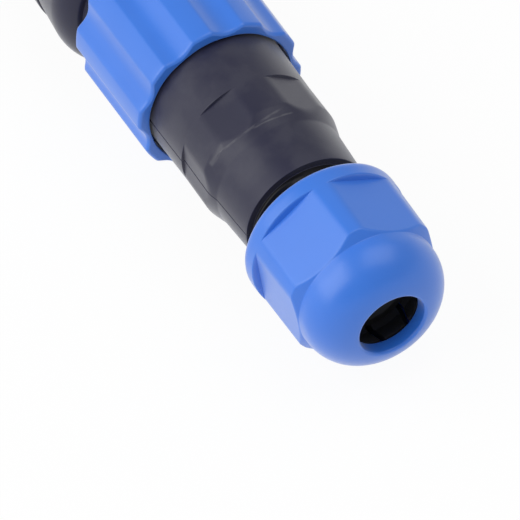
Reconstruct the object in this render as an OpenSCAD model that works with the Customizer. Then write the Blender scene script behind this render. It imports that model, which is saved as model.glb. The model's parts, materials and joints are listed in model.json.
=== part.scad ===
// In-line waterproof cable connector: a plug and a receptacle that a fluted coupling ring draws together.
// It lies along X with the plug's cable end towards +X, and rests on the surface at Z = 0.

/* [Cable gland] */
// Diameter of the cable that the rubber seal is bored for
cable_d = 11; // [8:0.1:12]
// Thickness of the rubber seal round the cable
seal_wall = 2.8; // [2:0.1:3.5]
// Length of the seal that sits in the shell's neck
seal_depth = 9; // [6:0.1:10]
// Length of the seal that stands out of the neck, inside the clamp claw
seal_nose = 8; // [4:0.1:8.5]
// How far the nose steps in from the rest of the seal
nose_step = 0.8; // [0.5:0.1:1]
// Wall of the shell's threaded neck
neck_wall = 1.5; // [1.2:0.1:2.5]
// Length of the threaded neck
neck_length = 12.6; // [11.5:0.1:13]
// Number of slots that part the fingers of the clamp claw
claw_slots = 8; // [5:1:12]
// Width of a slot
claw_slot_w = 1; // [0.6:0.1:2]
// Length of the claw's unslotted foot
claw_foot = 3; // [2:0.1:5]
// Thickness of the claw's finger tips
claw_tip_t = 0.95; // [0.8:0.05:1.2]

/* [Gland nut] */
// Gap between the nut and the shell
nut_gap = 4.6; // [3.5:0.1:5]
// Wall between the nut's thread and the flats, where they start at the rim
nut_wall = 1.85; // [1.5:0.05:2.5]
// Draft of the flats, which close in towards the dome
nut_draft = 1.85; // [0:0.05:2.5]
// How far the ends of the rounded corners stand out beyond the flats
nut_corner = 1.3; // [0.8:0.05:1.6]
// How far the rim stands out beyond the corners
nut_rim = 0.35; // [0.2:0.05:1]
// Length of the round rim behind the flats
nut_rim_length = 3.4; // [2:0.1:5]
// Length of the thread in the nut
nut_thread = 14; // [12:0.1:15]
// Length from the rear face to the end of the corners
nut_corner_length = 14.3; // [12:0.1:15]
// Length of the slope from the corners to the dome
nut_slope = 1.3; // [1:0.1:3]
// Length of the dome's straight foot
dome_foot = 0.9; // [0.5:0.1:2]
// How far the dome's foot lies inside the ends of the flats
dome_inset = 0.08; // [0.05:0.01:0.3]
// Radius of the dome's round shoulder
dome_r = 7.3; // [6.5:0.1:8]
// Clearance of the cable hole over the cable, on the radius
hole_room = 0.25; // [0.1:0.05:1]
// Length of the hole's straight lip
nut_lip = 2.4; // [1.5:0.1:3]
// Radius of the rounded mouth of the hole
mouth_r = 0.5; // [0.3:0.1:1]
// Turn of the nut's flats about the axis
nut_turn = 38.2; // [0:0.1:60]

/* [Shells] */
// Length of the plug shell in front of its flats
shell_front = 13.8; // [12:0.1:20]
// Length of the spanner flats
flat_length = 7; // [5:0.1:12]
// Depth of the spanner flats
flat_depth = 0.5; // [0.3:0.05:0.9]
// Length of the sloped shoulder behind the flats
shoulder_length = 3.6; // [1:0.1:5]
// Length of the tapered tail
tail_length = 8.8; // [7:0.1:14]
// Widening of the tail from its rear edge to the shoulder, on the radius
tail_draft = 0.55; // [0:0.05:1]
// Widening of the front of the shell from the flats to the front face, on the radius
front_draft = 0.35; // [0:0.05:0.6]
// Wall of the tail at its rear edge
shell_wall = 2.5; // [2:0.1:3]
// Wall of the front of the shell, round the barrel
front_wall = 1.6; // [1.4:0.05:2.5]
// Turn of the shell's flats about the axis
shell_turn = 30.5; // [0:0.1:60]

/* [Coupling] */
// Crest diameter of the receptacle's coupling thread
coupling_d = 26; // [25:0.1:28]
// Depth of the coupling thread and of the gland thread
thread_depth = 0.7; // [0.4:0.05:0.8]
// Room between the crest of a thread and the bore that turns on it
thread_room = 0.25; // [0.1:0.05:0.3]
// Length of the coupling ring
ring_length = 23.8; // [22:0.1:26]
// Thickness of the ring from its widest bore to the top of its lobes
ring_wall = 2.05; // [1.8:0.05:3]
// Draft of the ring's outside, which widens towards the receptacle
ring_draft = 1; // [0:0.25:1.5]
// Number of grip flutes
flute_count = 10; // [6:2:14]
// Depth of a flute
flute_depth = 1.1; // [0.8:0.05:1.2]
// Chamfer at both ends of the ring
ring_edge = 0.4; // [0.2:0.1:0.9]
// Thickness of the inner lip that holds the ring on the plug
lip_t = 3; // [2:0.1:4]
// Reach of the ring over the front of the plug shell
ring_skirt = 3.6; // [2:0.1:6]
// Gap between the ring and the receptacle's collar
ring_gap = 3.9; // [2:0.1:5]
// Turn of the flutes about the axis
ring_turn = -5.3; // [-18:0.1:18]

/* [Plug barrel] */
// Wall of the front sleeve
sleeve_wall = 1.5; // [1.2:0.1:2]
// Length of the front sleeve
sleeve_length = 13.5; // [13:0.1:15]
// Wall of the barrel's rear spigot
barrel_wall = 1.65; // [1.4:0.05:2.5]
// Length of the spigot in the shell
spigot_length = 10.6; // [9:0.1:13]
// Thickness of the flange that traps the ring
flange_t = 2.3; // [1.5:0.1:3]
// Thickness of the flat face seal
face_seal_t = 0.6; // [0.4:0.1:1]

/* [Receptacle] */
// Wall of the threaded front
receptacle_wall = 1.6; // [1.2:0.1:2.2]
// Length of the collar
collar_length = 12.9; // [12:0.1:18]
// Wall of the collar round the rear shell's spigot
collar_wall = 3.5; // [2.5:0.1:5]
// Length of the collar's rounded front shoulder
collar_shoulder = 5; // [3:0.1:5.5]
// Radius of the rounded front shoulder
collar_round = 6; // [5.6:0.1:8]
// Narrowing of the collar from its shoulder to its rear edge, on the radius
collar_draft = 0.6; // [0:0.05:0.8]
// Thickness of the inner web that the insert seats against
web_t = 4; // [2:0.1:4.5]
// How far the rear shell's rim lies below the collar's widest part, on the radius
rim_drop = 0.25; // [0.2:0.05:1]
// Length of the rear shell's rim
rim_length = 3.7; // [2:0.1:8]
// Length of the slope behind the rim
rim_slope = 3; // [2:0.1:6]

/* [Contacts] */
// Diameter of the circle that the contacts stand on
contact_circle = 10; // [9:0.1:10.5]
// Diameter of a pin
pin_d = 2.5; // [1.5:0.1:2.6]
// Diameter of a contact's body
contact_d = 3.6; // [3.4:0.1:3.8]
// Diameter of the screw terminals
terminal_d = 4.2; // [4:0.1:4.6]
// Length of the screw terminals
terminal_length = 6.5; // [5:0.1:6.8]
// Diameter of a wire hole
wire_d = 2.4; // [1.5:0.1:2.8]
// Diameter of a terminal screw
screw_d = 1.6; // [1.2:0.1:2]
// Length of the plug insert's flange
insert_flange = 7.6; // [4:0.1:8.5]
// Reach of the plug insert in front of the flange face
insert_reach = 5.5; // [4:0.1:6]
// Length of the receptacle insert's flange
seat_flange = 4.8; // [3:0.1:5]
// Width of the key that lines the two halves up
key_w = 2; // [1.5:0.1:3]

/* [Clearances] */
// Radial play between pieces that stay together
fit_play = 0.1; // [0.02:0.01:0.15]
// Radial play of the ring's lip on the barrel
running_play = 0.08; // [0.05:0.01:0.1]
// Radial play between the two halves as they slide together
mating_play = 0.3; // [0.15:0.01:0.35]
// End play of pieces that turn or slide against each other
end_play = 0.2; // [0.1:0.01:0.3]
// Small edge chamfer
edge = 0.4; // [0.2:0.05:0.5]

/* [Hidden] */
$fn = 96;

blue_plastic = "royalblue";
black_plastic = "#26272b";
dark_rubber = "#1b1b1d";
insulator = "#3a3b40";
contact_metal = "goldenrod";
screw_metal = "silver";

// Reach of a cutter past the face that it cuts
over = 1;
// Sides of a spanner hexagon and places of the contacts
sides = 6;
contacts = 4;
first_contact = 45;
// Depth of both O-ring grooves, the width of a groove over its ring, and their squeeze gap
groove_depth = 0.8;
groove_room = 0.15;
ring_touch = 0.02;
// Depth of a screw's driver slot and its width, as shares of the screw's diameter
slot_depth = 0.4;
slot_w = 0.25;

// Radii of the cable gland, from the cable outwards
seal_bore_r = cable_d / 2;
seal_r = seal_bore_r + seal_wall;
neck_bore_r = seal_r + fit_play;
gland_root_r = neck_bore_r + neck_wall;
gland_crest_r = gland_root_r + thread_depth;
nut_bore_r = gland_crest_r + thread_room;
nut_flat_r = nut_bore_r + nut_wall;
nut_flat_end_r = nut_flat_r - (nut_corner_length - nut_rim_length) * tan(nut_draft);
nut_corner_r = nut_flat_end_r + nut_corner;
nut_rim_r = nut_corner_r + nut_rim;
hole_r = seal_bore_r + hole_room;
dome_base_r = nut_flat_end_r - dome_inset;
slope_end = nut_corner_length + nut_slope;
dome_base = slope_end + dome_foot;
crown_cut = 0.1;
nut_length = dome_base + dome_r - crown_cut;

// The clamp claw under the nut's inner cone
claw_r = gland_root_r;
seal_nose_r = seal_r - nose_step;
claw_bore_r = seal_nose_r + end_play;
finger_room = 0.5;
claw_tip_r = seal_bore_r + finger_room + claw_tip_t;
claw_room = 0.3;
claw_tip_gap = 0.6;
nut_cone_end = nut_length - nut_lip;
nut_cone_end_r = claw_tip_r + claw_room;
cone_slope = (nut_bore_r - nut_cone_end_r) / (nut_cone_end - nut_thread);
claw_base = neck_length + end_play;
claw_tip = nut_gap + nut_cone_end - claw_tip_gap;
claw_tip_out_r = claw_tip_r + cone_slope * claw_tip_gap;
claw_shoulder = claw_tip - (claw_r - claw_tip_out_r) / cone_slope;
claw_tip_in_r = claw_tip_out_r - claw_tip_t - claw_room;
claw_throat = claw_tip - (claw_bore_r - claw_tip_in_r) / cone_slope;
seal_mouth = 0.8;

// The tail that both shells share
tail_lip = 0.45;
tail_end_r = gland_crest_r + tail_lip;
tail_r = tail_end_r + tail_draft;
cavity_r = tail_end_r - shell_wall;
seat_t = 2;
seat_room = 1;
seat_r = seal_bore_r + seat_room;
seal_seat = neck_length - seal_depth;
tail_step = tail_length + shoulder_length + flat_length;
flat_land = 0.4;

// Radii of the coupling, from the thread inwards
coupling_root_r = coupling_d / 2 - thread_depth;
ring_bore_r = coupling_d / 2 + thread_room;
mating_bore_r = coupling_root_r - receptacle_wall;
sleeve_r = mating_bore_r - mating_play;
sleeve_bore_r = sleeve_r - sleeve_wall;
boss_r = sleeve_bore_r - mating_play;
insert_r = sleeve_bore_r - fit_play;
insert_step = 0.7;
insert_seat_r = sleeve_bore_r + insert_step;
flange_room = 0.45;
flange_r = ring_bore_r - flange_room;

// Radii of the barrel's spigot and of what goes round it
journal_r = insert_seat_r + barrel_wall;
counterbore_r = journal_r + fit_play;
front_r = counterbore_r + front_wall;
shell_r = front_r - front_draft;
shell_flat_r = shell_r - flat_depth;
lip_bore_r = journal_r + running_play;
skirt_play = 0.35;
skirt_r = front_r + skirt_play;
ring_near_r = max(ring_bore_r, skirt_r) + ring_wall;
ring_far_r = ring_near_r + ring_length * tan(ring_draft);
flute_pitch = 360 / flute_count;
flute_half = ring_far_r * sin(flute_pitch / 4);
flute_sag = flute_depth - ring_far_r * (1 - cos(flute_pitch / 4));
flute_r = (pow(flute_half, 2) + pow(flute_sag, 2)) / (2 * flute_sag);

// Stations along the axis, from the front face of the barrel's flange towards the plug's cable end
lip_front = flange_t + end_play;
lip_back = lip_front + lip_t;
shell_face = lip_back + end_play;
spigot_end = shell_face + spigot_length;
insert_shoulder = spigot_end - insert_flange;
plug_rear = shell_face + shell_front + tail_step;
ring_near = shell_face + ring_skirt;
barrel_groove = shell_face + spigot_length / 2;

// Stations from the same face towards the receptacle's cable end
ring_far = ring_near - ring_length;
mating_face = -face_seal_t - end_play / 2;
sleeve_room = 1;
mating_end = -sleeve_length - sleeve_room;
web_end = mating_end - web_t;
seat_end = web_end - seat_flange - end_play;
collar_face = ring_far - ring_gap;
collar_rear = collar_face - collar_length;
receptacle_rear = collar_rear - rim_length - rim_slope - tail_step;
insert_face = -insert_reach;
pin_recess = 0.7;
pin_tip = -sleeve_length + pin_recess;
boss_face = insert_face - mating_play;
socket_recess = 0.5;
socket_face = boss_face - socket_recess;

// Radii of the receptacle behind its web
boss_room = 0.4;
web_bore_r = boss_r + boss_room;
seat_step = 1.8;
seat_bore_r = web_bore_r + seat_step;
spigot_step = 1.7;
spigot_bore_r = seat_bore_r + spigot_step;
spigot_r = spigot_bore_r - fit_play;
collar_r = spigot_bore_r + collar_wall;
collar_rear_r = collar_r - collar_draft;
rim_r = collar_r - rim_drop;
o_ring_station = (collar_rear + seat_end) / 2;

// Contacts and their key
contact_hole_r = contact_d / 2 + fit_play / 2;
socket_bore_r = pin_d / 2 + fit_play;
socket_slot_w = 0.5;
terminal_floor = 1.5;
wire_depth = terminal_length - terminal_floor;
screw_hole_r = screw_d / 2 + fit_play / 2;
screw_reach = wire_d / 4;
key_room = 0.2;
keyway_floor = 0.75;
key_r = sleeve_r - keyway_floor;

// Rest: the collar's bottom flat and the ring's lobes lie on the surface, with the length centred on X = 0
axis_height = ring_far_r;
centre_x = -(plug_rear + receptacle_rear) / 2;

// Lays a piece that is drawn along Z on the connector's axis
module on_axis() {
  translate([centre_x, 0, axis_height]) rotate([0, 90, 0]) children();
}

// Places a gland piece, drawn outwards from a shell's rear edge, on the plug
module at_plug_gland() {
  on_axis() translate([0, 0, plug_rear]) children();
}

// Places the same gland piece on the receptacle
module at_receptacle_gland() {
  on_axis() translate([0, 0, receptacle_rear]) rotate([180, 0, 0]) children();
}

// Cutters of a spanner hexagon between two stations, whose flats close in with their draft
module hexagon_cut(flat_r, from, to, turn, draft = 0) {
  end_r = flat_r - (to - from) * tan(draft);
  for (k = [0 : sides - 1])
    rotate([0, 0, turn + k * 360 / sides]) rotate([90, 0, 0])
      linear_extrude(height = 4 * flat_r, center = true)
        polygon([[flat_r, from], [2 * flat_r, from], [2 * flat_r, to], [end_r, to]]);
}

// Round seal of a groove, between its floor and the bore over it
module o_ring(floor_r, bore_r, station) {
  cord_r = (bore_r - floor_r) / 2 - ring_touch;
  translate([0, 0, station]) rotate_extrude()
    translate([floor_r + ring_touch + cord_r, 0]) circle(r = cord_r);
}

// Groove for a round seal in a spigot
module groove(spigot_outer_r, station) {
  width = groove_depth + fit_play + groove_room;
  translate([0, 0, station - width / 2]) difference() {
    cylinder(r = spigot_outer_r + over, h = width);
    translate([0, 0, -over]) cylinder(r = spigot_outer_r - groove_depth, h = width + 2 * over);
  }
}

// Meridian of the nut's outside: rim, drafted corners, slope, foot and dome
module nut_outline() {
  polygon([
    [0, 0], [nut_rim_r - edge, 0], [nut_rim_r, edge], [nut_corner_r, nut_corner_length],
    [dome_base_r, slope_end], [dome_base_r, dome_base], [0, dome_base]
  ]);
  intersection() {
    translate([dome_base_r - dome_r, dome_base]) circle(r = dome_r);
    translate([0, dome_base - edge]) square([dome_base_r, nut_length - dome_base + edge]);
  }
}

// Meridian of the nut's inside: thread, clamping cone and rounded cable hole
module nut_hollow() {
  polygon([
    [0, -over], [nut_bore_r + edge + over, -over], [nut_bore_r, edge], [nut_bore_r, nut_thread],
    [nut_cone_end_r, nut_cone_end], [hole_r, nut_cone_end], [hole_r, nut_length + over],
    [0, nut_length + over]
  ]);
  translate([hole_r - over, nut_length - mouth_r]) difference() {
    square([mouth_r + over, mouth_r + over]);
    translate([mouth_r + over, 0]) circle(r = mouth_r);
  }
}

// Domed nut with six flats, drawn from the shell's rear edge
module gland_nut() {
  translate([0, 0, nut_gap]) difference() {
    rotate_extrude() difference() {
      nut_outline();
      nut_hollow();
    }
    hexagon_cut(nut_flat_r, nut_rim_length, nut_length + over, nut_turn, nut_draft);
  }
}

// Collet whose fingers the nut's cone closes on the cable
module clamp_claw() {
  difference() {
    rotate_extrude() polygon([
      [claw_bore_r, claw_base], [claw_r, claw_base], [claw_r, claw_shoulder], [claw_tip_out_r, claw_tip],
      [claw_tip_in_r, claw_tip], [claw_bore_r, claw_throat]
    ]);
    for (k = [0 : claw_slots - 1])
      rotate([0, 0, k * 360 / claw_slots])
        translate([0, -claw_slot_w / 2, claw_base + claw_foot])
          cube([claw_r + over, claw_slot_w, claw_tip]);
  }
}

// Rubber bush with a stepped nose, seated in the neck
module cable_seal() {
  rotate_extrude() polygon([
    [seal_bore_r, seal_seat], [seal_r, seal_seat], [seal_r, neck_length], [seal_nose_r, neck_length],
    [seal_nose_r, neck_length + seal_nose], [seal_bore_r + seal_mouth, neck_length + seal_nose],
    [seal_bore_r, neck_length + seal_nose - seal_mouth]
  ]);
}

// Outside of a shell from the end of its neck to the land in front of its flats
function tail_outside() = [
  [neck_bore_r, neck_length], [gland_root_r - edge, neck_length], [gland_root_r, neck_length - edge],
  [gland_root_r, 0], [tail_end_r - edge, 0], [tail_end_r, -edge], [tail_r, -tail_length],
  [shell_r, -tail_length - shoulder_length], [shell_r, -tail_step - flat_land]
];

// Inside of a shell from its cavity to the end of its neck, past the seat of the seal
function tail_inside() = [
  [cavity_r, seal_seat - seat_t], [seat_r, seal_seat - seat_t], [seat_r, seal_seat],
  [neck_bore_r, seal_seat]
];

// Rear shell of the plug, drawn from its rear edge
module plug_shell_form() {
  face = -tail_step - shell_front;
  difference() {
    rotate_extrude() polygon(concat(
      tail_outside(),
      [[front_r, face], [counterbore_r, face], [counterbore_r, face + spigot_length],
       [cavity_r, face + spigot_length]],
      tail_inside()));
    hexagon_cut(shell_flat_r, -tail_step, -tail_length, shell_turn);
  }
}

// Rear shell of the receptacle, drawn from its rear edge
module receptacle_rear_shell_form() {
  rim_rear = -tail_step - rim_slope;
  rim_face = rim_rear - rim_length;
  spigot_face = rim_face - (seat_end - collar_rear);
  difference() {
    rotate_extrude() polygon(concat(
      tail_outside(),
      [[rim_r - edge, rim_rear], [rim_r, rim_rear - edge], [rim_r, rim_face + edge],
       [rim_r - edge, rim_face], [spigot_r, rim_face], [spigot_r, spigot_face + edge],
       [spigot_r - edge, spigot_face], [cavity_r, spigot_face]],
      tail_inside()));
    hexagon_cut(shell_flat_r, -tail_step, -tail_length, shell_turn);
    groove(spigot_r, (rim_face + spigot_face) / 2);
  }
}

// Grip flute along the ring, tilted with its draft
module flute() {
  translate([ring_far_r - flute_depth + flute_r, 0, ring_far]) rotate([0, -ring_draft, 0])
    translate([0, 0, -over]) cylinder(r = flute_r, h = ring_length + 2 * over);
}

// Stands a piece at each place of the contact circle
module at_contact(i) {
  rotate([0, 0, first_contact + (i - 1) * 360 / contacts]) translate([contact_circle / 2, 0, 0]) children();
}

// Screw terminal with its wire hole, which opens away from the contact's body
module terminal() {
  difference() {
    cylinder(d = terminal_d, h = terminal_length);
    translate([0, 0, terminal_length - wire_depth]) cylinder(d = wire_d, h = wire_depth + over);
    translate([0, 0, terminal_length / 2]) rotate([0, 90, 0]) cylinder(r = screw_hole_r, h = terminal_d);
  }
}

// Slotted grub screw in the side of a terminal
module terminal_screw() {
  screw_length = terminal_d / 2 - screw_reach;
  translate([screw_reach, 0, terminal_length / 2]) rotate([0, 90, 0]) difference() {
    cylinder(d = screw_d, h = screw_length);
    translate([-screw_d, -slot_w * screw_d / 2, screw_length - slot_depth * screw_d])
      cube([2 * screw_d, slot_w * screw_d, screw_d]);
  }
}

// Holes of an insert for all its contacts
module contact_holes(from, to) {
  for (i = [1 : contacts])
    at_contact(i) translate([0, 0, from]) cylinder(r = contact_hole_r, h = to - from);
}

module plug_gland_nut() {
  color(blue_plastic) at_plug_gland() gland_nut();
}

module plug_clamp_claw() {
  color(black_plastic) at_plug_gland() clamp_claw();
}

module plug_cable_seal() {
  color(dark_rubber) at_plug_gland() cable_seal();
}

module plug_shell() {
  color(black_plastic) at_plug_gland() plug_shell_form();
}

module coupling_ring() {
  color(blue_plastic) on_axis() difference() {
    rotate_extrude() polygon([
      [skirt_r, ring_near], [ring_near_r - ring_edge, ring_near], [ring_near_r, ring_near - ring_edge],
      [ring_far_r, ring_far + ring_edge], [ring_far_r - ring_edge, ring_far], [ring_bore_r, ring_far],
      [ring_bore_r, lip_front], [lip_bore_r, lip_front], [lip_bore_r, lip_back], [skirt_r, lip_back]
    ]);
    for (k = [0 : flute_count - 1])
      rotate([0, 0, ring_turn + k * flute_pitch]) flute();
  }
}

module plug_barrel() {
  color(black_plastic) on_axis() difference() {
    rotate_extrude() polygon([
      [insert_seat_r, spigot_end], [journal_r - edge, spigot_end], [journal_r, spigot_end - edge],
      [journal_r, flange_t], [flange_r, flange_t], [flange_r, 0], [sleeve_r, 0],
      [sleeve_r, -sleeve_length + edge], [sleeve_r - edge, -sleeve_length], [sleeve_bore_r, -sleeve_length],
      [sleeve_bore_r, insert_shoulder], [insert_seat_r, insert_shoulder]
    ]);
    groove(journal_r, barrel_groove);
    translate([-key_r, -key_w / 2 - key_room, -sleeve_length - over])
      cube([key_r, key_w + 2 * key_room, sleeve_length + over - insert_reach]);
  }
}

module barrel_o_ring() {
  color(dark_rubber) on_axis() o_ring(journal_r - groove_depth, counterbore_r, barrel_groove);
}

module face_seal() {
  color(dark_rubber) on_axis() translate([0, 0, -face_seal_t]) difference() {
    cylinder(r = coupling_root_r, h = face_seal_t);
    translate([0, 0, -over]) cylinder(r = sleeve_r + fit_play, h = face_seal_t + 2 * over);
  }
}

module plug_insert() {
  color(insulator) on_axis() difference() {
    rotate_extrude() polygon([
      [0, spigot_end], [insert_seat_r - fit_play, spigot_end], [insert_seat_r - fit_play, insert_shoulder],
      [insert_r, insert_shoulder], [insert_r, insert_face], [0, insert_face]
    ]);
    contact_holes(insert_face - over, spigot_end + over);
  }
}

module contact_pin(i) {
  color(contact_metal) on_axis() at_contact(i) {
    translate([0, 0, insert_face]) cylinder(d = contact_d, h = spigot_end - insert_face);
    translate([0, 0, pin_tip + pin_d / 2]) cylinder(d = pin_d, h = insert_face - pin_tip);
    translate([0, 0, pin_tip + pin_d / 2]) sphere(d = pin_d);
    translate([0, 0, spigot_end]) terminal();
  }
}

module pin_terminal_screws() {
  color(screw_metal) on_axis() for (i = [1 : contacts])
    at_contact(i) translate([0, 0, spigot_end]) terminal_screw();
}

// Meridian of the receptacle's collar with its rounded front shoulder
module collar_outline() {
  shoulder = collar_face - collar_shoulder;
  difference() {
    polygon([
      [0, collar_face], [collar_r, collar_face], [collar_r, shoulder], [collar_rear_r, collar_rear],
      [0, collar_rear]
    ]);
    difference() {
      translate([collar_r - collar_round, shoulder]) square([collar_round + over, collar_shoulder + over]);
      translate([collar_r - collar_round, shoulder]) circle(r = collar_round);
    }
  }
}

module receptacle_shell() {
  color(black_plastic) on_axis() difference() {
    rotate_extrude() difference() {
      union() {
        collar_outline();
        polygon([
          [0, mating_face], [coupling_root_r - edge, mating_face], [coupling_root_r, mating_face - edge],
          [coupling_root_r, collar_face - edge], [0, collar_face - edge]
        ]);
      }
      polygon([
        [0, mating_face + over], [mating_bore_r, mating_face + over], [mating_bore_r, mating_end],
        [web_bore_r, mating_end], [web_bore_r, web_end], [seat_bore_r, web_end], [seat_bore_r, seat_end],
        [spigot_bore_r, seat_end], [spigot_bore_r, collar_rear - over], [0, collar_rear - over]
      ]);
    }
    for (side = [-1, 1])
      translate([side * (axis_height + collar_r) - collar_r, -collar_r, collar_rear - over])
        cube([2 * collar_r, 2 * collar_r, collar_length + 2 * over]);
  }
}

module receptacle_insert() {
  color(insulator) on_axis() difference() {
    union() {
      rotate_extrude() polygon([
        [0, boss_face], [boss_r - edge, boss_face], [boss_r, boss_face - edge], [boss_r, web_end],
        [seat_bore_r - fit_play, web_end], [seat_bore_r - fit_play, web_end - seat_flange],
        [0, web_end - seat_flange]
      ]);
      translate([-key_r + key_room, -key_w / 2, mating_end + end_play])
        cube([key_r - key_room, key_w, boss_face - edge - mating_end - end_play]);
    }
    contact_holes(web_end - seat_flange - over, boss_face + over);
  }
}

module contact_socket(i) {
  rear = web_end - seat_flange;
  color(contact_metal) on_axis() at_contact(i) {
    difference() {
      translate([0, 0, rear]) cylinder(d = contact_d, h = socket_face - rear);
      translate([0, 0, mating_end]) cylinder(r = socket_bore_r, h = socket_face - mating_end + over);
      translate([-contact_d, -socket_slot_w / 2, mating_end + pin_d])
        cube([2 * contact_d, socket_slot_w, socket_face - mating_end]);
    }
    translate([0, 0, rear]) rotate([180, 0, 0]) terminal();
  }
}

module socket_terminal_screws() {
  color(screw_metal) on_axis() for (i = [1 : contacts])
    at_contact(i) translate([0, 0, web_end - seat_flange]) rotate([180, 0, 0]) terminal_screw();
}

module receptacle_rear_shell() {
  color(black_plastic) at_receptacle_gland() receptacle_rear_shell_form();
}

module receptacle_shell_o_ring() {
  color(dark_rubber) on_axis() o_ring(spigot_r - groove_depth, spigot_bore_r, o_ring_station);
}

module receptacle_cable_seal() {
  color(dark_rubber) at_receptacle_gland() cable_seal();
}

module receptacle_clamp_claw() {
  color(black_plastic) at_receptacle_gland() clamp_claw();
}

module receptacle_gland_nut() {
  color(blue_plastic) at_receptacle_gland() gland_nut();
}

plug_gland_nut();
plug_clamp_claw();
plug_cable_seal();
plug_shell();
coupling_ring();
plug_barrel();
barrel_o_ring();
face_seal();
plug_insert();
for (i = [1 : contacts]) contact_pin(i);
pin_terminal_screws();
receptacle_shell();
receptacle_insert();
for (i = [1 : contacts]) contact_socket(i);
socket_terminal_screws();
receptacle_rear_shell();
receptacle_shell_o_ring();
receptacle_cable_seal();
receptacle_clamp_claw();
receptacle_gland_nut();
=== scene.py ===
"""Looks of an in-line waterproof cable connector: softened mouldings, threads, finishes, light and camera.

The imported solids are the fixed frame. Sizes in the classes below are millimetres along the connector's axis
and on its radius. They become the frame's metres where a mesh is drawn.
"""

import json
import logging
import math
from dataclasses import asdict, dataclass
from enum import Enum
from functools import cache
from typing import Any, ClassVar, Sequence

import bpy
import numpy as np
from mathutils import Matrix, Vector

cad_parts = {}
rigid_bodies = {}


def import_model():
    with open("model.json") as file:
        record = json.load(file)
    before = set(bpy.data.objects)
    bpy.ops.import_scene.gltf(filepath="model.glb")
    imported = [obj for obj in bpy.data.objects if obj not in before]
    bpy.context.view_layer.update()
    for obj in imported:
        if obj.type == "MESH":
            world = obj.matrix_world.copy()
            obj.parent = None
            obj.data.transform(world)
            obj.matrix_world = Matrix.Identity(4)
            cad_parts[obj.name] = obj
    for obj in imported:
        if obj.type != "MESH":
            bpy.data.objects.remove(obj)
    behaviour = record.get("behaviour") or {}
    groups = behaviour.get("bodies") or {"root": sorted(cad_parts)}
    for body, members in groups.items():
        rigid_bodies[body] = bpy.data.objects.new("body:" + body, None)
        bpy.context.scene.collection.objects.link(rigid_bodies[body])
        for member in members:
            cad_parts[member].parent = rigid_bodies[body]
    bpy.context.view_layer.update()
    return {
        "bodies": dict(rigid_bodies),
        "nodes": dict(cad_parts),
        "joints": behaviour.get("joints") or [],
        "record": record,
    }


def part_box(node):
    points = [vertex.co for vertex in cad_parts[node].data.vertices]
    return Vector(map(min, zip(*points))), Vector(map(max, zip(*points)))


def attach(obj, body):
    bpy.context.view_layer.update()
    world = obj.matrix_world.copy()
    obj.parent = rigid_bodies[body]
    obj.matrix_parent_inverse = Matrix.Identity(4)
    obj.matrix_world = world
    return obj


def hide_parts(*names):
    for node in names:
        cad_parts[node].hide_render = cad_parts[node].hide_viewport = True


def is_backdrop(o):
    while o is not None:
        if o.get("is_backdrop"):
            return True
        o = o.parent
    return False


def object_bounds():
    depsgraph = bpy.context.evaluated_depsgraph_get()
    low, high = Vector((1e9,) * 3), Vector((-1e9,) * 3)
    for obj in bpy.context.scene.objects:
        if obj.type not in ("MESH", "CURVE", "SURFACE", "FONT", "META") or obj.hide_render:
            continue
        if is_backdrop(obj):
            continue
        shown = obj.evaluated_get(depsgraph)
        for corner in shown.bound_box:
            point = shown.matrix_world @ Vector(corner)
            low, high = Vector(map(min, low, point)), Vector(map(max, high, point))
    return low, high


LOG = logging.getLogger("connector")
MM = 0.001
FULL_TURN = 2 * math.pi
WHITE = (1.0, 1.0, 1.0, 1.0)

# Distances in metres within which the vertices of an outline, and of a spun mesh, are joined
OUTLINE_WELD = 1e-7
SPIN_WELD = 1e-6

Point = tuple[float, float]
Span = tuple[float, float]
Triple = tuple[float, float, float]
Colour = Triple


class Side(Enum):
    """The two cable ends, each with the way that it points along the axis."""

    PLUG = 1
    RECEPTACLE = -1


class Body(Enum):
    """Bodies of the frame that new pieces ride on."""

    PLUG = "plug"
    COUPLING = "coupling"
    PLUG_NUT = "plug_nut"
    RECEPTACLE = "receptacle"
    RECEPTACLE_NUT = "receptacle_nut"


class Slot(Enum):
    """Material slots of the record."""

    BLUE = "blue_plastic"
    BLACK = "black_plastic"
    RUBBER = "seal_rubber"
    INSULATOR = "insulator"
    BRASS = "contact_brass"
    STEEL = "screw_steel"


# Shader arithmetic


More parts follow.
